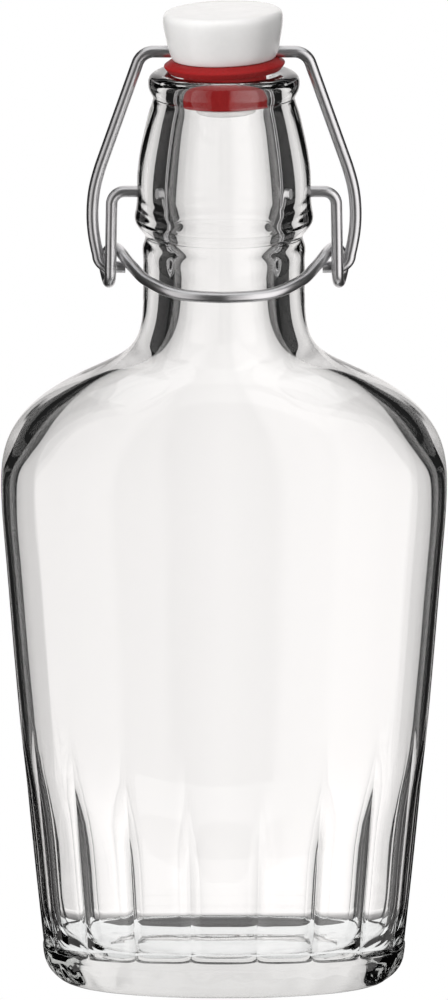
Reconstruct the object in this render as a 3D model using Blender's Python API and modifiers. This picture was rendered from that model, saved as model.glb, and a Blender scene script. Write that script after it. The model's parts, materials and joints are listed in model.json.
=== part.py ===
"""Small swing-top flask bottle: fluted oval glass, stopper with a rubber gasket, and two wires.

The bottle stands on z = 0 with the middle of its base at the origin, and its broad front faces -Y.
The lever wire turns in two dimples in the neck, the bail wire turns in the lever's eyes, and the
stopper turns on the bail's top wire. Lengths are in millimetres, and MM turns them into metres.
"""
import bpy
import bmesh
from math import copysign, cos, pi, radians, sin
from mathutils import Vector

MM = 0.001

# Glass body: half width, half depth and height of the outline, from the top of the heel to the neck.
BODY = (
    (36.5, 17.4, 6.5), (38.1, 18.6, 22.0), (40.3, 19.9, 46.0), (42.3, 21.1, 70.0),
    (43.9, 21.8, 91.0), (44.6, 22.0, 103.0), (44.2, 21.9, 108.8), (42.9, 21.6, 113.1),
    (40.3, 21.0, 117.2), (36.0, 20.1, 121.2), (30.2, 18.9, 124.7), (23.3, 17.8, 127.9),
    (18.4, 16.9, 131.5), (16.6, 16.4, 135.5), (16.15, 16.15, 140.5), (16.1, 16.1, 147.6),
)
HEEL_HEIGHT = 6.5
HEEL_INSET = (7.0, 5.2)
HEEL_STEPS = 5
# Low ring, bulb, waist and lip of the neck: radius and height.
NECK = (
    (16.2, 151.0), (16.1, 152.0), (15.8, 152.9), (15.8, 154.3), (16.5, 155.3), (17.15, 156.1),
    (17.6, 156.9), (17.75, 157.8), (17.5, 159.4), (17.3, 161.5), (17.25, 165.5), (16.95, 169.0),
    (16.4, 172.3), (15.55, 176.2), (14.7, 179.5), (14.15, 181.2), (14.1, 181.9), (14.55, 182.9),
    (14.95, 184.0), (15.0, 184.8), (14.75, 185.7), (14.0, 186.35), (13.0, 186.6),
)
# Inside of the glass from the mouth down: half width, half depth and height.
BORE = (
    (10.2, 10.2, 186.5), (9.3, 9.3, 186.0), (9.0, 9.0, 185.2), (9.0, 9.0, 180.5),
    (9.6, 9.6, 176.5), (10.4, 10.4, 171.0), (11.0, 11.0, 165.0), (11.1, 11.1, 160.0),
    (10.6, 10.6, 155.0), (10.2, 10.2, 150.0), (10.2, 10.2, 141.0), (11.1, 10.8, 135.0),
    (13.6, 12.0, 130.4), (19.6, 13.7, 126.2), (28.0, 15.5, 121.8), (34.6, 17.0, 117.4),
    (39.3, 18.2, 112.0), (41.8, 18.8, 107.4), (42.5, 19.0, 102.0), (41.9, 18.9, 90.0),
    (40.3, 18.2, 70.0), (38.1, 17.0, 46.0), (35.6, 15.7, 22.0), (34.2, 14.8, 12.0),
    (31.6, 12.6, 8.3), (24.0, 8.2, 7.0), (10.0, 3.2, 6.6),
)
PUSH_UP = ((0.82, 0.0), (0.62, 1.0), (0.30, 2.2))
# The body's section is a little squarer than an ellipse, by this share once it is this much wider than deep.
SQUARENESS = 0.2
FULL_OVAL = 0.9
SEGMENTS = 36
SHARP_EDGE = radians(40)

# Flutes round the foot: hollows between sharp ribs that start at a ledge and fade out upwards. The
# ledge lies higher on the broad faces than at the sides.
FLUTES = 18
FLUTE_DEPTH = 0.8
FLUTE_START = 8.5
LEDGE_STEP = 0.25
LEDGE_HEIGHT = 0.5
LEDGE_LIFT = 1.4
LIFT_END = 30.0
FLUTE_TOP_FRONT = 40.0
FLUTE_TOP_SIDE = 54.0
FLUTE_FADE = 14.0
RIB_SHIFT_FRONT = radians(3.7)
RIB_SHIFT_BACK = radians(0.7)

# Closure: heights of the three axes, all along X.
PIVOT_HEIGHT = 162.8
EYE_HEIGHT = 147.5
STOPPER_HEIGHT = 191.0
DIMPLE_RADIUS = 1.45
DIMPLE_FLOOR = 15.8
DIMPLE_CUT = 8.0
CUT_SIDES = 20

# Lever wire: its ends lie in the dimples, and its eyes hold the bail's hooks.
LEVER_RADIUS = 1.15
LEVER_END = 16.1
LEVER_LEG = 22.5
LEVER_BEND = 2.6
EYE_RADIUS = 3.0
EYE_PITCH = 1.4
EYE_LEAN = 1.6
EYE_STEPS = 8
BEND_STEPS = 5
# Where the leg starts to curve back into the eye: sideways, forward (-Y) and up.
LEG_TURN = (22.4, -1.5, 155.0)
# Yoke from the back of the eye to the middle of the front: sideways, forward (-Y) and up.
YOKE = (
    (23.9, 3.0, 147.5), (23.6, 3.1, 149.0), (22.8, 2.9, 150.5), (21.8, 1.6, 151.1),
    (20.9, 0.0, 150.9), (20.2, -1.3, 150.4), (19.4, -2.6, 149.6), (17.6, -5.6, 148.1),
    (15.8, -8.7, 146.9), (13.85, -11.3, 146.3), (11.7, -13.6, 145.7), (8.7, -15.7, 145.25),
    (5.1, -17.2, 145.15), (0.0, -17.95, 145.1),
)

# Bail wire: hooks in the eyes, legs with an outward hip, shoulder bends and the top wire.
BAIL_RADIUS = 1.2
BAIL_END = 19.6
BAIL_BEND = 2.5
BAIL_HIP = 25.05
BAIL_LEG = ((25.6, 152.6), (26.05, 156.0), (26.1, 159.4), (25.6, 163.8), (24.4, 168.2))
BAIL_SHOULDER = 3.4
BAIL_SHOULDER_X = 13.9
BAIL_SLOPE = radians(17.7)
HOOK_STEPS = 6
WIRE_ROUNDNESS = 2

# Stopper profile: radius, and height above the wire that it hangs on, from the top down.
STOPPER_TILT = radians(2.0)
STOPPER = (
    (0.0, 8.4), (9.8, 8.35), (10.8, 8.2), (11.5, 7.7), (11.85, 6.9), (11.86, 6.3), (11.7, 4.6),
    (11.3, 2.4), (10.85, 0.4), (10.4, -0.9), (10.0, -1.3), (4.2, -1.3), (4.2, -10.6),
    (5.9, -10.9), (5.9, -12.2), (5.2, -12.9), (0.0, -13.1),
)
STOPPER_HOLE = 1.65
HOLE_CUT = 30.0
GASKET = (
    (4.5, -1.6), (10.3, -1.6), (10.9, -1.75), (12.0, -2.5), (11.1, -3.75), (8.7, -3.75),
    (8.2, -4.4), (8.2, -9.4), (7.7, -10.3), (4.5, -10.3),
)
TURN_STEPS = 40
MERGE_GAP = 0.01


def material(name, colour, roughness, metallic=0.0, transmission=0.0):
    made = bpy.data.materials.new(name)
    made.use_nodes = True
    shader = made.node_tree.nodes["Principled BSDF"]
    shader.inputs["Base Color"].default_value = (*colour, 1.0)
    shader.inputs["Roughness"].default_value = roughness
    shader.inputs["Metallic"].default_value = metallic
    shader.inputs["Transmission Weight"].default_value = transmission
    made.diffuse_color = (*colour, 1.0)
    return made


def new_object(name, data, collection, finish=None, place=(0.0, 0.0, 0.0)):
    made = bpy.data.objects.new(name, data)
    made.location = Vector(place) * MM
    collection.objects.link(made)
    if finish:
        data.materials.append(finish)
    return made


def smooth_path(points, steps):
    """Points on a smooth curve through the given points, steps of them to each stretch."""
    given = [Vector(point) for point in points]
    ends = [2 * given[0] - given[1]] + given + [2 * given[-1] - given[-2]]
    path = []
    for before, start, end, after in zip(ends, ends[1:], ends[2:], ends[3:]):
        for step in range(steps):
            t = step / steps
            path.append(0.5 * (2 * start + (end - before) * t
                               + (2 * before - 5 * start + 4 * end - after) * t ** 2
                               + (3 * start - before - 3 * end + after) * t ** 3))
    return path + [given[-1]]


def arc(centre, radius, first, last, steps):
    """Points on an arc, as (sideways, up) pairs, between two angles from the sideways axis."""
    turns = [first + (last - first) * step / steps for step in range(steps + 1)]
    return [(centre[0] + radius * cos(turn), centre[1] + radius * sin(turn)) for turn in turns]


# ---------------------------------------------------------------- glass

def flute_depth(turn, height):
    """How far the glass lies inside its plain oval at one place above the ledge."""
    top = FLUTE_TOP_FRONT + (FLUTE_TOP_SIDE - FLUTE_TOP_FRONT) * sin(turn) ** 2
    if not FLUTE_START <= height <= top:
        return 0.0
    between_ribs = cos(FLUTES * turn / 2) ** 2
    fade = min(1.0, (top - height) / FLUTE_FADE)
    return (LEDGE_STEP + FLUTE_DEPTH * between_ribs) * fade


def lift(turn, height):
    """How far one place near the ledge lies above its level, most on the broad faces."""
    below = (height - HEEL_HEIGHT) / (FLUTE_START - HEEL_HEIGHT)
    above = (LIFT_END - height) / (LIFT_END - FLUTE_START)
    return LEDGE_LIFT * cos(turn) ** 2 * max(0.0, min(1.0, below, above))


def oval_ring(width, depth, height, fluted):
    """One level of the glass: a round neck section turns into the squarer oval of the body."""
    power = 2.0 / (2.0 + SQUARENESS * min(1.0, (width / depth - 1.0) / FULL_OVAL))
    ring = []
    for index in range(SEGMENTS):
        turn = 2 * pi * index / SEGMENTS
        rib_shift = RIB_SHIFT_FRONT if cos(turn) > 0 else RIB_SHIFT_BACK
        eased = turn - rib_shift * sin(2 * turn)
        x = width * copysign(abs(sin(eased)) ** power, sin(eased))
        y = -depth * copysign(abs(cos(eased)) ** power, cos(eased))
        if fluted:
            outward = Vector((x / width ** 2, y / depth ** 2)).normalized()
            x -= outward.x * flute_depth(turn, height)
            y -= outward.y * flute_depth(turn, height)
        ring.append((x, y, height + (lift(turn, height) if fluted else 0.0)))
    return ring


def heel_levels():
    """The rounded edge between the base and the side, without its two ends."""
    foot_width, foot_depth, _ = BODY[0]
    levels = []
    for step in range(1, HEEL_STEPS):
        turn = step / HEEL_STEPS * pi / 2
        levels.append((foot_width - HEEL_INSET[0] * (1 - sin(turn)),
                       foot_depth - HEEL_INSET[1] * (1 - sin(turn)),
                       HEEL_HEIGHT * (1 - cos(turn))))
    return levels


def glass_levels():
    """Every level of the glass, from the middle of the base up the outside and down the inside."""
    foot_width = BODY[0][0] - HEEL_INSET[0]
    foot_depth = BODY[0][1] - HEEL_INSET[1]
    levels = [(foot_width * share, foot_depth * share, height) for share, height in reversed(PUSH_UP)]
    levels.append((foot_width, foot_depth, 0.0))
    levels += heel_levels()
    body = smooth_path(BODY, 2)
    foot, above = body[0], body[1]
    levels.append(tuple(foot))
    for height in (FLUTE_START - LEDGE_HEIGHT, FLUTE_START):
        levels.append(tuple(foot.lerp(above, (height - foot.z) / (above.z - foot.z))))
    levels += [tuple(point) for point in body[1:]]
    levels += [(radius, radius, height) for radius, height in NECK]
    return levels, list(BORE)


def glass_bottle(collection, cutters, finish):
    outside, inside = glass_levels()
    mesh = bmesh.new()
    rings = []
    for levels, fluted in ((outside, True), (inside, False)):
        for width, depth, height in levels:
            points = oval_ring(width, depth, height, fluted)
            rings.append([mesh.verts.new(Vector(point) * MM) for point in points])
    for lower, upper in zip(rings, rings[1:]):
        for index in range(SEGMENTS):
            after = (index + 1) % SEGMENTS
            mesh.faces.new((lower[index], lower[after], upper[after], upper[index]))
    mesh.faces.new(reversed(rings[0]))
    mesh.faces.new(rings[-1])
    bmesh.ops.recalc_face_normals(mesh, faces=mesh.faces)
    data = bpy.data.meshes.new("glass_bottle")
    mesh.to_mesh(data)
    mesh.free()
    bottle = new_object("glass_bottle", data, collection, finish)
    data.shade_smooth()
    data.set_sharp_from_angle(angle=SHARP_EDGE)
    for side, name in ((-1, "left"), (1, "right")):
        cutter = cross_cylinder(f"dimple_{name}", DIMPLE_RADIUS, DIMPLE_CUT, cutters)
        cutter.location = Vector((side * (DIMPLE_FLOOR + DIMPLE_CUT / 2), 0.0, PIVOT_HEIGHT)) * MM
        cut(bottle, cutter)
    return bottle


# ---------------------------------------------------------------- tools for cuts and turned pieces

def cross_cylinder(name, radius, length, cutters):
    """A cutter for a round hole along X."""
    bpy.ops.mesh.primitive_cylinder_add(vertices=CUT_SIDES, radius=radius * MM, depth=length * MM,
                                        rotation=(0.0, pi / 2, 0.0))
    cutter = bpy.context.object
    cutter.name = name
    for owner in list(cutter.users_collection):
        owner.objects.unlink(cutter)
    cutters.objects.link(cutter)
    cutter.hide_render = True
    cutter.display_type = "WIRE"
    return cutter


def cut(target, cutter):
    modifier = target.modifiers.new(cutter.name, "BOOLEAN")
    modifier.operation = "DIFFERENCE"
    modifier.solver = "EXACT"
    modifier.object = cutter


def turned(name, profile, closed, collection, finish):
    """A piece turned about Z from an outline of (radius, height) pairs."""
    mesh = bmesh.new()
    points = [mesh.verts.new((radius * MM, 0.0, height * MM)) for radius, height in profile]
    for start, end in zip(points, points[1:]):
        mesh.edges.new((start, end))
    if closed:
        mesh.edges.new((points[-1], points[0]))
    data = bpy.data.meshes.new(name)
    mesh.to_mesh(data)
    mesh.free()
    piece = new_object(name, data, collection, finish)
    screw = piece.modifiers.new("turn", "SCREW")
    screw.axis = "Z"
    screw.angle = 2 * pi
    screw.steps = TURN_STEPS
    screw.render_steps = TURN_STEPS
    screw.use_merge_vertices = True
    screw.merge_threshold = MERGE_GAP * MM
    screw.use_smooth_shade = True
    return piece


# ---------------------------------------------------------------- stopper

def stopper_and_gasket(collection, cutters, plastic, rubber):
    stopper = turned("stopper", STOPPER, False, collection, plastic)
    stopper.location = Vector((0.0, 0.0, STOPPER_HEIGHT)) * MM
    stopper.rotation_euler = (0.0, -STOPPER_TILT, 0.0)
    cutter = cross_cylinder("wire_hole", STOPPER_HOLE, HOLE_CUT, cutters)
    cutter.location = stopper.location
    cutter.rotation_euler = (0.0, pi / 2 - STOPPER_TILT, 0.0)
    cut(stopper, cutter)
    gasket = turned("gasket", GASKET, True, collection, rubber)
    gasket.parent = stopper
    return stopper


# ---------------------------------------------------------------- wires

def wire(name, half, axis_height, radius, collection, finish):
    """A bent wire from the points of its +X half, from its end to the middle, mirrored in X."""
    other = [(-x, y, z) for x, y, z in reversed(half[:-1])]
    path = list(half) + other
    data = bpy.data.curves.new(name, "CURVE")
    data.dimensions = "3D"
    data.bevel_depth = radius * MM
    data.bevel_resolution = WIRE_ROUNDNESS
    data.use_fill_caps = True
    spline = data.splines.new("POLY")
    spline.points.add(len(path) - 1)
    for point, (x, y, z) in zip(spline.points, path):
        point.co = (x * MM, y * MM, (z - axis_height) * MM, 1.0)
    spline.use_smooth = True
    return new_object(name, data, collection, finish, (0.0, 0.0, axis_height))


def bail_half():
    """Hook in the lever's eye, hip, sloping leg, shoulder bend, and the wire through the stopper."""
    hook = arc((BAIL_HIP - BAIL_BEND, EYE_HEIGHT + BAIL_BEND), BAIL_BEND, -pi / 2, 0.0, HOOK_STEPS)
    leg = smooth_path([(x, z, 0.0) for x, z in (hook[-1], *BAIL_LEG)], 2)
    shoulder_centre = (BAIL_SHOULDER_X, STOPPER_HEIGHT - BAIL_SHOULDER)
    shoulder = arc(shoulder_centre, BAIL_SHOULDER, BAIL_SLOPE, pi / 2, HOOK_STEPS)
    outline = [(BAIL_END, EYE_HEIGHT)] + hook + [(point.x, point.y) for point in leg[1:]]
    outline += shoulder + [(0.0, STOPPER_HEIGHT)]
    return [(x, 0.0, z) for x, z in outline]


def lever_half():
    """End in the glass, leg, eye round the bail's hook, and the yoke that sweeps round the neck."""
    bend = arc((LEVER_LEG - LEVER_BEND, PIVOT_HEIGHT - LEVER_BEND), LEVER_BEND, pi / 2, 0.0, BEND_STEPS)
    path = [(LEVER_END, 0.0, PIVOT_HEIGHT)] + [(x, 0.0, z) for x, z in bend]
    path.append(LEG_TURN)
    for step in range(EYE_STEPS):
        turn = pi + pi * step / EYE_STEPS
        outward = EYE_PITCH * (step / EYE_STEPS) ** EYE_LEAN
        path.append((LEVER_LEG + outward, EYE_RADIUS * cos(turn), EYE_HEIGHT + EYE_RADIUS * sin(turn)))
    return path + [tuple(point) for point in smooth_path(YOKE, 2)]


def main():
    for old in list(bpy.data.objects):
        bpy.data.objects.remove(old, do_unlink=True)
    collection = bpy.data.collections.new("swing_top_flask")
    cutters = bpy.data.collections.new("cutters")
    bpy.context.scene.collection.children.link(collection)
    bpy.context.scene.collection.children.link(cutters)

    clear_glass = material("clear_glass", (0.93, 0.95, 0.94), 0.02, transmission=1.0)
    plastic = material("white_plastic", (0.90, 0.89, 0.88), 0.18)
    rubber = material("red_rubber", (0.45, 0.02, 0.02), 0.5)
    steel = material("bright_wire", (0.62, 0.62, 0.64), 0.2, metallic=1.0)

    glass_bottle(collection, cutters, clear_glass)
    stopper_and_gasket(collection, cutters, plastic, rubber)
    wire("bail_wire", bail_half(), EYE_HEIGHT, BAIL_RADIUS, collection, steel)
    wire("lever_wire", lever_half(), PIVOT_HEIGHT, LEVER_RADIUS, collection, steel)


main()
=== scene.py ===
import json
from math import cos, pi, radians, sin

import bpy
import bmesh
import numpy as np
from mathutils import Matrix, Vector


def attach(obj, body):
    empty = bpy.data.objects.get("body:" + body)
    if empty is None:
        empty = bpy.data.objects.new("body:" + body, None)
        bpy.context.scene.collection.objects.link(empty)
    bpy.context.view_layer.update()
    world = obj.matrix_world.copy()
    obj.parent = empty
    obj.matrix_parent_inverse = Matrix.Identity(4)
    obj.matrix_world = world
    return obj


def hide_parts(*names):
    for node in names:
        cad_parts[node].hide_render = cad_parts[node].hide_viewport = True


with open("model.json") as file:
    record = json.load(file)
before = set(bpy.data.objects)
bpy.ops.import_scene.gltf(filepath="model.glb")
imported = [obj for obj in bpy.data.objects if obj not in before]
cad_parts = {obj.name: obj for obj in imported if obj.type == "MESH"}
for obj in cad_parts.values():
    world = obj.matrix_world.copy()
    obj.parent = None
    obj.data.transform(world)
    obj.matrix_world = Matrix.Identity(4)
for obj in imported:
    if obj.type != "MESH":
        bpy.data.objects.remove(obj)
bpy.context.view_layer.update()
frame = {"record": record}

MM = 0.001

# ---------------------------------------------------------------- outlines, in millimetres

joints = frame["record"]["behaviour"]["joints"]
joint_height = {joint["name"]: joint["pos_m"][2] / MM for joint in joints}
PIVOT_HEIGHT = joint_height["lever_pivot"]
EYE_HEIGHT = joint_height["bail_pivot"]
STOPPER_HEIGHT = joint_height["stopper_pivot"]

# Half width, half depth and height of the glass, from the top of the heel to the straight neck.
BODY = (
    (36.5, 17.4, 6.5), (38.1, 18.6, 22.0), (40.3, 19.9, 46.0), (42.3, 21.1, 70.0),
    (43.9, 21.8, 91.0), (44.6, 22.0, 103.0), (44.2, 21.9, 108.8), (42.9, 21.6, 113.1),
    (40.3, 21.0, 117.2), (36.0, 20.1, 121.2), (30.2, 18.9, 124.7), (23.3, 17.8, 127.9),
    (18.4, 16.9, 131.5), (16.6, 16.4, 135.5), (16.15, 16.15, 140.5), (16.1, 16.1, 147.6),
)
# The rounded heel leads in from there to the foot.
HEEL_HEIGHT = 6.5
HEEL_INSET = (7.0, 5.2)
HEEL_STEPS = 10
FOOT_WIDTH = BODY[0][0] - HEEL_INSET[0]
FOOT_DEPTH = BODY[0][1] - HEEL_INSET[1]
# Radius and height of the outside of the neck, up to the mouth.
NECK = (
    (16.1, 147.6), (16.1, 149.6), (16.2, 151.0), (16.1, 152.0), (15.8, 152.9), (15.8, 154.3),
    (16.5, 155.3), (17.15, 156.1), (17.6, 156.9), (17.75, 157.8), (17.5, 159.4), (17.3, 161.5),
    (17.25, 165.5), (16.95, 169.0), (16.4, 172.3), (15.55, 176.2), (14.7, 179.5), (14.15, 181.2),
    (14.1, 181.9), (14.55, 182.9), (14.95, 184.0), (15.0, 184.9), (14.75, 185.9), (14.0, 186.6),
    (13.0, 186.9), (11.8, 186.95),
)
# Half width, half depth and height of the inside, from the mouth down to the thick floor.
BORE = (
    (11.0, 11.0, 186.85), (10.2, 10.2, 186.6), (9.3, 9.3, 186.1), (9.0, 9.0, 185.2), (9.0, 9.0, 180.5),
    (9.6, 9.6, 176.5), (10.4, 10.4, 171.0), (11.0, 11.0, 165.0), (11.1, 11.1, 160.0), (10.6, 10.6, 155.0),
    (10.2, 10.2, 150.0), (10.2, 10.2, 141.0), (11.1, 10.8, 135.0), (13.6, 12.0, 130.4), (19.6, 13.7, 126.2),
    (28.0, 15.5, 121.8), (34.6, 17.0, 117.4), (39.3, 18.2, 112.0), (41.8, 18.8, 107.4), (42.5, 19.0, 102.0),
    (41.9, 18.9, 90.0), (40.3, 18.2, 70.0), (38.1, 17.0, 46.0), (35.6, 15.7, 22.0),
    (34.2, 14.8, 12.0), (31.6, 12.6, 8.3), (24.0, 8.2, 7.0), (10.0, 3.2, 6.6), (1.5, 0.5, 6.5),
)
# The hollow under the base: share of the foot's size, and height.
PUSH_UP = ((0.15, 1.6), (0.40, 1.5), (0.62, 1.15), (0.72, 0.7), (0.78, 0.25),
           (0.83, 0.05), (0.90, 0.0), (1.0, 0.0))
# The hollow is wavy within this share of the foot, by these shares of its width and depth, and
# the heel has shallow ripples.
HOLLOW_SHARE = 0.95
HOLLOW_WAVE = (0.02, 0.07)
HEEL_RIPPLE = 0.0095
RIPPLE_SHARE = 0.4
# A flat oval is a little squarer than an ellipse, and a round section isn't.
SQUARENESS = 0.2
FLATNESS = 0.9

# Flutes round the foot, with ribs between them. They are shallow on the broad faces, deep at the
# corners between a broad face and an end, and shallower at the back.
FLUTES = 18
FLUTE_STEPS = 18
FLUTE_DEPTH_BROAD = 0.75
FLUTE_DEPTH_CORNER = 1.6
CORNER_TURN = radians(42)
CORNER_SPREAD = radians(14)
BACK_SHARE = 0.35
FLUTE_POWER = 5
# The flutes start on a ledge, which rises towards the middle of the broad faces.
FLUTE_START = 8.5
LEDGE_STEP = 0.25
LEDGE_HEIGHT_FRONT = 1.3
LEDGE_HEIGHT_BACK = 1.8
LEDGE_LIFT = 1.4
LIFT_END = 30.0
# Levels of the mesh near the ledge, as heights above and below its top, and the gap to the next level.
LEDGE_LEVELS = (-1.9, -1.8, -1.6, -1.3, -1.0, -0.8, -0.7, -0.62, -0.55, -0.47, -0.4, -0.33, -0.26, -0.2,
                -0.14, -0.09, -0.05, -0.02, 0.0, 0.03, 0.1, 0.2, 0.35, 0.5, 0.65, 0.8, 0.95, 1.1, 1.3, 1.5,
                1.8, 2.5, 4.0)
LEVEL_GAP = 0.2
# This power rounds the ledge's edge.
LEDGE_ROUNDING = 3
# The flutes fade out at a height that grows towards the ends of the oval.
FLUTE_TOP_FRONT = 40.0
FLUTE_TOP_SIDE = 54.0
FLUTE_FADE = 14.0
# The ribs stand a little apart from an even spacing.
RIB_SHIFT_FRONT = radians(3.7)
RIB_SHIFT_BACK = radians(0.7)


def spline(points, steps):
    """Points on a natural cubic spline through the given ones, spaced evenly in each stretch."""
    given = np.array(points, float)
    count = len(given)
    knots = np.concatenate(([0.0], np.cumsum(np.linalg.norm(np.diff(given, axis=0), axis=1))))
    gaps = np.diff(knots)
    system = np.eye(count)
    slopes = np.zeros_like(given)
    for k in range(1, count - 1):
        system[k, k - 1:k + 2] = gaps[k - 1], 2 * (gaps[k - 1] + gaps[k]), gaps[k]
        slopes[k] = 6 * ((given[k + 1] - given[k]) / gaps[k] - (given[k] - given[k - 1]) / gaps[k - 1])
    bend = np.linalg.solve(system, slopes)
    path = []
    for k, gap in enumerate(gaps):
        for t in np.arange(steps) / steps:
            a, b = 1 - t, t
            path.append(a * given[k] + b * given[k + 1]
                        + gap ** 2 / 6 * ((a ** 3 - a) * bend[k] + (b ** 3 - b) * bend[k + 1]))
    return path + [given[-1]]


def new_object(name, data, material):
    made = bpy.data.objects.new(name, data)
    bpy.context.scene.collection.objects.link(made)
    data.materials.append(material)
    return made


# ---------------------------------------------------------------- materials

# Most of a noise texture's values lie between these two.
NOISE_LOW = 0.3
NOISE_HIGH = 0.7


def node_material(name):
    made = bpy.data.materials.new(name)
    made.use_nodes = True
    tree = made.node_tree
    return made, tree, tree.nodes["Principled BSDF"]


def add_noise(tree, scale, detail=3.0, stretch=(1.0, 1.0, 1.0), source="Object"):
    """Noise over the object's own space, or along the wire for the source UV."""
    place = tree.nodes.new("ShaderNodeTexCoord")
    mapping = tree.nodes.new("ShaderNodeMapping")
    mapping.inputs["Scale"].default_value = stretch
    tree.links.new(place.outputs[source], mapping.inputs["Vector"])
    texture = tree.nodes.new("ShaderNodeTexNoise")
    texture.inputs["Scale"].default_value = scale
    texture.inputs["Detail"].default_value = detail
    tree.links.new(mapping.outputs["Vector"], texture.inputs["Vector"])
    return texture.outputs["Fac"]


def add_bump(tree, shader, height, strength, distance, before=None):
    """A bump on the shader, on top of an earlier one if that is given."""
    bump = tree.nodes.new("ShaderNodeBump")
    bump.inputs["Strength"].default_value = strength
    bump.inputs["Distance"].default_value = distance
    tree.links.new(height, bump.inputs["Height"])
    if before:
        tree.links.new(before, bump.inputs["Normal"])
    tree.links.new(bump.outputs["Normal"], shader.inputs["Normal"])
    return bump.outputs["Normal"]


def add_range(tree, value, low, high):
    """A noise value spread between two others."""
    ranged = tree.nodes.new("ShaderNodeMapRange")
    ranged.inputs["From Min"].default_value = NOISE_LOW
    ranged.inputs["From Max"].default_value = NOISE_HIGH
    ranged.inputs["To Min"].default_value = low
    ranged.inputs["To Max"].default_value = high
    tree.links.new(value, ranged.inputs["Value"])
    return ranged.outputs["Result"]


def add_mix(tree, value, first, second):
    mix = tree.nodes.new("ShaderNodeMix")
    mix.data_type = "RGBA"
    mix.inputs["A"].default_value = (*first, 1.0)
    mix.inputs["B"].default_value = (*second, 1.0)
    tree.links.new(value, mix.inputs["Factor"])
    return mix.outputs["Result"]


def glass_material():
    made, tree, shader = node_material("clear_bottle_glass")
    shader.inputs["Transmission Weight"].default_value = 1.0
    shader.inputs["IOR"].default_value = 1.52
    cloud = add_noise(tree, 60.0)
    tree.links.new(add_range(tree, cloud, 0.0, 0.02), shader.inputs["Roughness"])
    tint = add_mix(tree, cloud, (0.988, 0.990, 0.988), (0.993, 0.994, 0.993))
    tree.links.new(tint, shader.inputs["Base Color"])
    add_bump(tree, shader, add_noise(tree, 140.0, 1.0, (1.0, 1.0, 0.25)), 0.03, 0.001)
    depth = tree.nodes.new("ShaderNodeVolumeAbsorption")
    depth.inputs["Color"].default_value = (0.38, 0.40, 0.39, 1.0)
    depth.inputs["Density"].default_value = 18.0
    tree.links.new(depth.outputs["Volume"], tree.nodes["Material Output"].inputs["Volume"])
    return made


def plastic_material():
    made, tree, shader = node_material("white_stopper_plastic")
    grain = add_noise(tree, 900.0)
    white = add_mix(tree, grain, (0.86, 0.85, 0.84), (0.90, 0.89, 0.88))
    tree.links.new(white, shader.inputs["Base Color"])
    tree.links.new(add_range(tree, add_noise(tree, 300.0), 0.14, 0.24), shader.inputs["Roughness"])
    shader.inputs["IOR"].default_value = 1.49
    shader.inputs["Subsurface Weight"].default_value = 0.15
    shader.inputs["Subsurface Radius"].default_value = (0.002, 0.002, 0.002)
    shader.inputs["Subsurface Scale"].default_value = 1.0
    add_bump(tree, shader, add_noise(tree, 700.0), 0.05, 0.0003)
    return made


def rubber_material():
    made, tree, shader = node_material("red_gasket_rubber")
    grain = add_noise(tree, 1500.0, 4.0)
    red = add_mix(tree, grain, (0.26, 0.007, 0.008), (0.39, 0.017, 0.017))
    tree.links.new(red, shader.inputs["Base Color"])
    tree.links.new(add_range(tree, grain, 0.38, 0.6), shader.inputs["Roughness"])
    shader.inputs["Specular IOR Level"].default_value = 0.2
    add_bump(tree, shader, grain, 0.25, 0.0004)
    return made


def wire_material():
    made, tree, shader = node_material("bright_steel_wire")
    shader.inputs["Metallic"].default_value = 1.0
    drawn = add_noise(tree, 30.0, 5.0, (1.0, 14.0, 1.0), "UV")
    spots = add_noise(tree, 260.0, 3.0)
    steel_grey = add_mix(tree, spots, (0.60, 0.60, 0.61), (0.72, 0.72, 0.73))
    tree.links.new(steel_grey, shader.inputs["Base Color"])
    tree.links.new(add_range(tree, drawn, 0.26, 0.36), shader.inputs["Roughness"])
    normal = add_bump(tree, shader, spots, 0.02, 0.0004)
    add_bump(tree, shader, drawn, 0.02, 0.0003, normal)
    return made


# ---------------------------------------------------------------- glass bottle

def turn_angles():
    """Angles round the section from the middle of the front, closer together at the ribs."""
    flute = 2 * pi / FLUTES
    shares = [(1 - cos(pi * step / FLUTE_STEPS)) / 2 for step in range(FLUTE_STEPS)]
    return np.array([flute * (index - 0.5 + share) for index in range(FLUTES) for share in shares])


def smooth_step(value):
    """0 below 0 and 1 above 1, with a soft change between."""
    share = np.clip(value, 0.0, 1.0)
    return share * share * (3 - 2 * share)


def flute_depth(turns, height):
    """How far the glass lies inside its plain oval round one level of the foot."""
    top = FLUTE_TOP_FRONT + (FLUTE_TOP_SIDE - FLUTE_TOP_FRONT) * np.sin(turns) ** 2
    share = (turns * FLUTES / (2 * pi) + 0.5) % 1.0
    fade = smooth_step((top - height) / FLUTE_FADE)
    ledge_height = np.where(np.cos(turns) > 0, LEDGE_HEIGHT_FRONT, LEDGE_HEIGHT_BACK)
    ledge = np.clip((height - FLUTE_START + ledge_height) / ledge_height, 0.0, 1.0) ** LEDGE_ROUNDING
    from_broad = np.arccos(np.abs(np.cos(turns)))
    corner = np.exp(-((from_broad - CORNER_TURN) / CORNER_SPREAD) ** 2)
    depth = FLUTE_DEPTH_BROAD + (FLUTE_DEPTH_CORNER - FLUTE_DEPTH_BROAD) * corner
    depth = depth * (BACK_SHARE + (1 - BACK_SHARE) * smooth_step(0.5 + 2 * np.cos(turns)))
    hollow = 1 - np.abs(2 * share - 1) ** FLUTE_POWER
    return (LEDGE_STEP * (1 + np.cos(turns) ** 2) + depth * hollow) * fade * ledge


def lift(turns, height):
    """How far a level near the ledge rises on the broad faces."""
    below = (height - HEEL_HEIGHT) / (FLUTE_START - HEEL_HEIGHT)
    above = (LIFT_END - height) / (LIFT_END - FLUTE_START)
    return LEDGE_LIFT * np.cos(turns) ** 2 * max(0.0, min(1.0, below, above))


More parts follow.
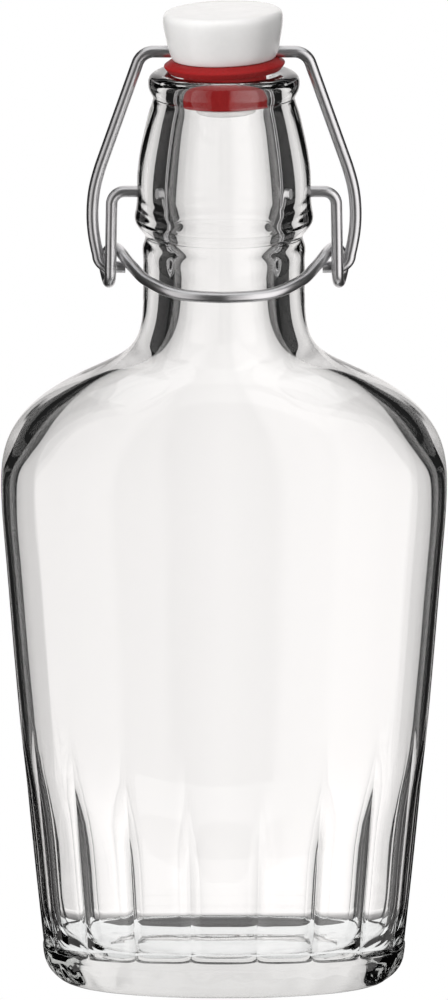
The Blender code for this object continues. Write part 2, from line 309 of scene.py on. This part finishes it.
def oval_ring(turns, width, depth, height, fluted):
    """The points of one level of the glass."""
    flatness = min(1.0, max(0.0, (width / depth - 1.0) / FLATNESS))
    power = 2.0 / (2.0 + SQUARENESS * flatness)
    rib_shift = np.where(np.cos(turns) > 0, RIB_SHIFT_FRONT, RIB_SHIFT_BACK)
    eased = turns - rib_shift * np.sin(2 * turns)
    x = width * np.sign(np.sin(eased)) * np.abs(np.sin(eased)) ** power
    y = -depth * np.sign(np.cos(eased)) * np.abs(np.cos(eased)) ** power
    if fluted:
        outward = np.stack((x / width ** 2, y / depth ** 2))
        outward /= np.linalg.norm(outward, axis=0)
        recess = flute_depth(turns, height)
        x = x - outward[0] * recess
        y = y - outward[1] * recess
    rise = lift(turns, height) if fluted else 0.0
    return np.stack((x, y, np.full_like(x, height) + rise), axis=1)


def foot_wave(turns):
    """The uneven edge of the hollow under the base, as shares of its width and depth."""
    wave = np.sin(5 * turns + 1.0) + 0.5 * np.sin(11 * turns)
    return np.stack((1 + HOLLOW_WAVE[0] * wave, 1 + HOLLOW_WAVE[1] * wave), axis=1)


def heel_ripple(turns, height):
    """Shallow ripples in the rounded heel, as a share of its size."""
    wave = np.sin(19 * turns + 0.6) + np.sin(27 * turns + 2.0)
    return (1 - HEEL_RIPPLE * (1 + RIPPLE_SHARE * wave) * sin(pi * height / HEEL_HEIGHT))[:, None]


def glass_levels():
    """Half width, half depth and height of each level, outside upwards and inside downwards."""
    outside = [(FOOT_WIDTH * share, FOOT_DEPTH * share, height) for share, height in spline(PUSH_UP, 3)]
    for step in range(1, HEEL_STEPS):
        turn = step / HEEL_STEPS * pi / 2
        inset = 1 - sin(turn)
        outside.append((BODY[0][0] - HEEL_INSET[0] * inset, BODY[0][1] - HEEL_INSET[1] * inset,
                        HEEL_HEIGHT * (1 - cos(turn))))
    body = spline(BODY, 5)
    outside.append(BODY[0])
    widths, depths, heights = zip(*body)
    for step in LEDGE_LEVELS:
        height = FLUTE_START + step
        outside.append((np.interp(height, heights, widths), np.interp(height, heights, depths), height))
    outside += [tuple(level) for level in body if level[2] > outside[-1][2] + LEVEL_GAP][:-1]
    outside += [(radius, radius, height) for radius, height in spline(NECK, 4)]
    return outside, [tuple(level) for level in spline(BORE, 4)]


def glass_bottle(material):
    """One closed skin: up the outside, over the lip and down the inside."""
    turns = turn_angles()
    count = len(turns)
    outside, inside = glass_levels()
    rings = [oval_ring(turns, *level, True) for level in outside]
    rings += [oval_ring(turns, *level, False) for level in inside]
    for ring, (width, _, height) in zip(rings, outside):
        if height < HEEL_HEIGHT and width < HOLLOW_SHARE * FOOT_WIDTH:
            ring[:, :2] *= foot_wave(turns)
        elif height < HEEL_HEIGHT:
            ring[:, :2] *= heel_ripple(turns, height)
    points = np.concatenate(rings) * MM
    faces = []
    for level in range(len(rings) - 1):
        low, high = level * count, (level + 1) * count
        for index in range(count):
            after = (index + 1) % count
            faces.append((low + index, low + after, high + after, high + index))
    faces.append(tuple(reversed(range(count))))
    faces.append(tuple(range((len(rings) - 1) * count, len(rings) * count)))
    data = bpy.data.meshes.new("bottle_glass")
    data.from_pydata(points.tolist(), [], faces)
    data.shade_smooth()
    data.update()
    bottle = new_object("bottle_glass", data, material)
    bottle.visible_shadow = False
    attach(bottle, "bottle")
    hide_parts("glass_bottle")


# ---------------------------------------------------------------- stopper and gasket

# Both are turned outlines, as radius and height above the bail's wire, and lean a little to one side.
STOPPER_TILT = radians(2.0)
TURN_STEPS = 96
SHARP_EDGE = radians(50)
ON_AXIS = 1e-6
MERGE_GAP = 1e-7
STOPPER = (
    (0.0, 8.4), (6.0, 8.4), (10.5, 8.36), (11.05, 8.27), (11.4, 8.08), (11.65, 7.8), (11.8, 7.45),
    (11.88, 7.0), (11.88, 6.4), (11.82, 5.5), (11.7, 4.6), (11.5, 3.5), (11.27, 2.3), (11.05, 1.2),
    (10.85, 0.3), (10.6, -0.4), (10.35, -0.95), (10.15, -1.2), (9.9, -1.3), (4.2, -1.3),
    (4.2, -10.6), (5.6, -10.65), (5.9, -10.9), (5.9, -12.2), (5.7, -12.6), (5.2, -12.9), (0.0, -13.1),
)
GASKET = (
    (4.5, -1.33), (10.2, -1.33), (10.6, -1.45), (11.1, -1.75), (11.75, -2.2), (11.95, -2.35),
    (12.0, -2.5), (11.95, -2.65), (11.4, -3.4), (11.15, -3.68), (10.9, -3.75), (8.8, -3.75),
    (8.4, -3.95), (8.2, -4.4), (8.2, -9.4), (8.1, -9.9), (7.7, -10.3), (4.5, -10.3), (4.5, -1.33),
)


def turned(name, outline, material):
    """An outline turned about the stopper's axis."""
    mesh = bmesh.new()
    rings = []
    for radius, height in outline:
        if radius < ON_AXIS:
            rings.append([mesh.verts.new((0.0, 0.0, height * MM))])
            continue
        rings.append([mesh.verts.new((radius * MM * sin(2 * pi * k / TURN_STEPS),
                                      -radius * MM * cos(2 * pi * k / TURN_STEPS), height * MM))
                      for k in range(TURN_STEPS)])
    for upper, lower in zip(rings, rings[1:]):
        for k in range(TURN_STEPS):
            after = (k + 1) % TURN_STEPS
            corners = [upper[k % len(upper)], lower[k % len(lower)],
                       lower[after % len(lower)], upper[after % len(upper)]]
            mesh.faces.new(list(dict.fromkeys(corners)))
    bmesh.ops.remove_doubles(mesh, verts=mesh.verts, dist=MERGE_GAP)
    bmesh.ops.recalc_face_normals(mesh, faces=mesh.faces)
    data = bpy.data.meshes.new(name)
    mesh.to_mesh(data)
    mesh.free()
    data.shade_smooth()
    data.set_sharp_from_angle(angle=SHARP_EDGE)
    piece = new_object(name, data, material)
    piece.location = (0.0, 0.0, STOPPER_HEIGHT * MM)
    piece.rotation_euler = (0.0, -STOPPER_TILT, 0.0)
    return piece


# ---------------------------------------------------------------- wires

BAIL_RADIUS = 1.2
LEVER_RADIUS = 1.15
# The bail's end in the lever's eye, its lower hook and its round shoulder beside the stopper.
HOOK_RADIUS = 2.5
HOOK_MIDDLE = 22.55
BAIL_END = 19.6
SHOULDER_RADIUS = 3.4
SHOULDER_MIDDLE = 13.9
SHOULDER_START = radians(17.7)
# The lever's end in the neck's dimple, its bend, and the eye that holds the bail's hook.
LEVER_END = 16.1
BEND_RADIUS = 2.6
BEND_MIDDLE = 19.7
EYE_RADIUS = 3.0
EYE_SIDE = 22.5
EYE_SHIFT = 1.4
EYE_SHIFT_POWER = 1.6
EYE_STEPS = 16
LEG_FOOT = (22.4, -1.5, EYE_HEIGHT + 7.5)


def arc(centre, radius, first, last, steps):
    """Points on an arc in the XZ plane, as x and z."""
    turns = [first + (last - first) * step / steps for step in range(steps + 1)]
    return [(centre[0] + radius * cos(turn), centre[1] + radius * sin(turn)) for turn in turns]


def tube(name, half, radius, material):
    """A wire along the points of its +X half, from its end to the middle, mirrored in X."""
    path = [Vector(point) for point in half]
    path += [Vector((-p.x, p.y, p.z)) for p in reversed(path[:-1])]
    data = bpy.data.curves.new(name, "CURVE")
    data.dimensions = "3D"
    data.bevel_depth = radius * MM
    data.bevel_resolution = 8
    data.use_fill_caps = True
    line = data.splines.new("POLY")
    line.points.add(len(path) - 1)
    for point, place in zip(line.points, path):
        point.co = (*(place * MM), 1.0)
    line.use_smooth = True
    return new_object(name, data, material)


def bail_half():
    hook_centre = (HOOK_MIDDLE, EYE_HEIGHT + HOOK_RADIUS)
    hook = [(x, 0.0, z) for x, z in arc(hook_centre, HOOK_RADIUS, -pi / 2, 0.0, 12)]
    leg = spline((hook[-1], (25.6, 0, 152.6), (26.05, 0, 156.0), (26.1, 0, 159.4),
                  (25.6, 0, 163.8), (24.4, 0, 168.2)), 6)
    shoulder_centre = (SHOULDER_MIDDLE, STOPPER_HEIGHT - SHOULDER_RADIUS)
    shoulder = [(x, 0.0, z) for x, z in arc(shoulder_centre, SHOULDER_RADIUS, SHOULDER_START, pi / 2, 12)]
    path = [(BAIL_END, 0.0, EYE_HEIGHT)] + hook + [tuple(point) for point in leg[1:]]
    return path + shoulder + [(0.0, 0.0, STOPPER_HEIGHT)]


def lever_half():
    bend_centre = (BEND_MIDDLE, PIVOT_HEIGHT - BEND_RADIUS)
    bend = [(x, 0.0, z) for x, z in arc(bend_centre, BEND_RADIUS, pi / 2, 0.0, 10)]
    eye = []
    for step in range(EYE_STEPS):
        turn = pi + pi * step / EYE_STEPS
        eye.append((EYE_SIDE + EYE_SHIFT * (step / EYE_STEPS) ** EYE_SHIFT_POWER,
                    EYE_RADIUS * cos(turn), EYE_HEIGHT + EYE_RADIUS * sin(turn)))
    yoke = spline(((23.9, 3.0, 147.5), (23.6, 3.1, 149.0), (22.8, 2.9, 150.5), (21.8, 1.6, 151.1),
                   (20.9, 0.0, 150.9), (20.2, -1.3, 150.4), (19.4, -2.6, 149.6), (17.6, -5.6, 148.1),
                   (15.8, -8.7, 146.9), (13.85, -11.3, 146.3), (11.7, -13.6, 145.7), (8.7, -15.7, 145.25),
                   (5.1, -17.2, 145.15), (0.0, -17.95, 145.1)), 5)
    return [(LEVER_END, 0.0, PIVOT_HEIGHT)] + bend + [LEG_FOOT] + eye + [tuple(point) for point in yoke]


# ---------------------------------------------------------------- stage, light and camera

CAMERA_DISTANCE = 1.9
CAMERA_ELEVATION = radians(13.3)
CAMERA_BASE = 0.098
LENS = 342.0
LOOK_AT = (0.0, 0.0, 0.0999)
# The lamps aim at the middle of the object.
MIDDLE = (0.0, 0.0, 0.1)
BOX_DISTANCE = 1.5
# A bright strip stands close behind the object, in two parts that meet below the table.
STRIP_PLACE = 0.12
STRIP_WIDTH = 0.136
STRIP_TOP = 0.451
STRIP_SPLIT = -0.033
STRIP_FOOT = -0.253
# The lit table lies just under the bottle, with a second card in front of it.
TABLE_HEIGHT = -0.0006
TABLE_DEPTH = 0.045
FRONT_DEPTH = 0.10


def make_camera():
    data = bpy.data.cameras.new("camera")
    data.lens = LENS
    data.sensor_width = 36.0
    camera = bpy.data.objects.new("camera", data)
    bpy.context.scene.collection.objects.link(camera)
    camera.location = (0.0, -CAMERA_DISTANCE * cos(CAMERA_ELEVATION),
                       CAMERA_BASE + CAMERA_DISTANCE * sin(CAMERA_ELEVATION))
    look = Vector(LOOK_AT) - camera.location
    camera.rotation_euler = look.to_track_quat("-Z", "Y").to_euler()
    bpy.context.scene.camera = camera
    return camera


def lamp_colour(share):
    """The slightly warm white of the lamps at one share of its strength."""
    return (share, 0.975 * share, 0.968 * share, 1.0)


def glow_material(name, strength, stops=(), along="X"):
    """A card's glow. Each stop is a place along one side, from 0 to 1, and a share of the strength."""
    made = bpy.data.materials.new(name)
    made.use_nodes = True
    tree = made.node_tree
    tree.nodes.clear()
    glow = tree.nodes.new("ShaderNodeEmission")
    glow.inputs["Strength"].default_value = strength
    out = tree.nodes.new("ShaderNodeOutputMaterial")
    tree.links.new(glow.outputs[0], out.inputs["Surface"])
    if stops:
        place = tree.nodes.new("ShaderNodeTexCoord")
        split = tree.nodes.new("ShaderNodeSeparateXYZ")
        across = tree.nodes.new("ShaderNodeMath")
        across.operation = "ADD"
        across.inputs[1].default_value = 0.5
        ramp = tree.nodes.new("ShaderNodeValToRGB")
        marks = ramp.color_ramp.elements
        for mark, (position, share) in zip(marks, (stops[0], stops[-1])):
            mark.position = position
            mark.color = lamp_colour(share)
        for position, share in stops[1:-1]:
            marks.new(position).color = lamp_colour(share)
        tree.links.new(place.outputs["Object"], split.inputs["Vector"])
        tree.links.new(split.outputs[along], across.inputs[0])
        tree.links.new(across.outputs["Value"], ramp.inputs["Fac"])
        tree.links.new(ramp.outputs["Color"], glow.inputs["Color"])
    return made


def card(name, width, height, place, aim, material, parent, *seen_by):
    """A flat card that faces the given point and is seen only by the given kinds of ray."""
    bpy.ops.mesh.primitive_plane_add(size=1.0)
    made = bpy.context.object
    made.name = name
    made.scale = (width, height, 1.0)
    made.location = place
    made.rotation_euler = (Vector(aim) - Vector(place)).to_track_quat("Z", "Y").to_euler()
    made.parent = parent
    made.data.materials.append(material)
    for kind in ("camera", "diffuse", "glossy", "transmission", "shadow"):
        setattr(made, "visible_" + kind, kind in seen_by)


def soft_light(name, size, place, power, parent):
    """A softbox for the matt pieces. Glass and metal mirror the glowing cards instead."""
    data = bpy.data.lights.new(name, "AREA")
    data.shape = "RECTANGLE"
    data.size, data.size_y = size
    data.energy = power
    light = bpy.data.objects.new(name, data)
    bpy.context.scene.collection.objects.link(light)
    light.parent = parent
    light.location = place
    light.rotation_euler = (Vector(MIDDLE) - Vector(place)).to_track_quat("-Z", "Y").to_euler()
    for kind in ("camera", "glossy", "transmission"):
        setattr(light, "visible_" + kind, False)


def around(azimuth):
    """A place for a large box round the object: azimuth 0 is straight behind it and grows towards +X."""
    return (BOX_DISTANCE * sin(radians(azimuth)), BOX_DISTANCE * cos(radians(azimuth)), MIDDLE[2])


def make_stage(camera):
    """A white floor and backdrop, and lamps that turn about Z with the camera."""
    scene = bpy.context.scene
    scene.view_settings.view_transform = "Standard"
    rig = bpy.data.objects.new("light_rig", None)
    scene.collection.objects.link(rig)
    follow = rig.constraints.new("COPY_ROTATION")
    follow.target = camera
    follow.use_x = False
    follow.use_y = False
    white = glow_material("lit_white", 1.0)
    card("backdrop", 6.0, 3.0, (0.0, 3.2, 0.0), (0.0, 0.0, 0.0), white, rig, "camera")
    card("floor", 14.0, 14.0, (0.0, 0.0, -0.0003), (0.0, 0.0, 1.0), white, None, "camera")

    # The upper part is dimmer towards its sides, and the lower part is dim but for its top.
    fall = ((0.0, 0.0), (0.02, 0.60), (0.15, 0.69), (0.35, 0.87), (0.5, 0.98), (0.65, 0.93), (0.8, 0.80),
            (0.97, 0.62), (1.0, 0.0))
    fade = ((0.0, 0.1), (0.86, 0.1), (0.95, 0.35), (1.0, 1.0))
    for name, low, high, look in (
            ("upper", STRIP_SPLIT, STRIP_TOP, glow_material("lit_strip_upper", 1.2, fall)),
            ("lower", STRIP_FOOT, STRIP_SPLIT, glow_material("lit_strip_lower", 1.1, fade, "Y"))):
        centre = (low + high) / 2
        card("strip_" + name, STRIP_WIDTH, high - low, (0.0, STRIP_PLACE, centre), (0.0, 0.0, centre), look,
             rig, "transmission", "glossy")
    for side, name in ((-1, "left"), (1, "right")):
        card("panel_" + name, 2.2, 7.0, (side * 2.0, 0.2, 0.1), (0.0, 0.2, 0.1),
             glow_material("panel_" + name, 0.02), rig, "transmission", "glossy")
    table_glow = glow_material("lit_table", 1.0)
    front = -(TABLE_DEPTH + FRONT_DEPTH) / 2
    card("light_table", 0.09, TABLE_DEPTH, (0.0, 0.0, TABLE_HEIGHT), (0.0, 0.0, 1.0), table_glow,
         rig, "transmission")
    card("light_front", 0.12, FRONT_DEPTH, (0.0, front, TABLE_HEIGHT), (0.0, front, 1.0), table_glow,
         rig, "transmission")
    card("floor_bounce", 4.0, 4.0, (0.0, 0.0, -0.0005), (0.0, 0.0, 1.0), glow_material("bounce", 0.4),
         rig, "diffuse")

    left_fall = ((0.0, 0.0), (0.03, 0.42), (0.5, 0.62), (0.97, 1.0), (1.0, 0.0))
    card("box_left", 1.35, 3.2, around(-129.0), MIDDLE, glow_material("box_left", 1.25, left_fall),
         rig, "glossy", "transmission")
    right_fall = ((0.0, 0.7), (0.2, 1.0), (0.5, 1.0), (0.75, 0.8), (0.95, 0.5), (1.0, 0.0))
    card("box_right", 2.1, 3.2, around(135.0), MIDDLE, glow_material("box_right", 1.5, right_fall),
         rig, "glossy", "transmission")
    card("box_top", 2.2, 2.0, (0.0, 0.0, 1.6), MIDDLE, white, rig, "glossy", "transmission")

    soft_light("softbox_left", (0.7, 1.2), (-0.9, -0.8, 0.35), 12.5, rig)
    soft_light("softbox_right", (0.5, 1.2), (1.0, -0.6, 0.35), 4.2, rig)
    soft_light("softbox_top", (0.9, 0.9), (0.0, -0.2, 1.3), 10.0, rig)

    world = bpy.data.worlds.new("studio")
    scene.world = world
    world.use_nodes = True
    world.node_tree.nodes["Background"].inputs["Color"].default_value = (0.015, 0.015, 0.015, 1.0)


# ---------------------------------------------------------------- build

camera = make_camera()
make_stage(camera)
glass_bottle(glass_material())

stopper = turned("stopper_head", STOPPER, plastic_material())
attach(stopper, "stopper")
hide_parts("stopper")
gasket = turned("gasket_ring", GASKET, rubber_material())
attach(gasket, "stopper")
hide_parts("gasket")

steel = wire_material()
bail = tube("bail", bail_half(), BAIL_RADIUS, steel)
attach(bail, "bail")
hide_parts("bail_wire")
lever = tube("lever", lever_half(), LEVER_RADIUS, steel)
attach(lever, "lever")
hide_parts("lever_wire")
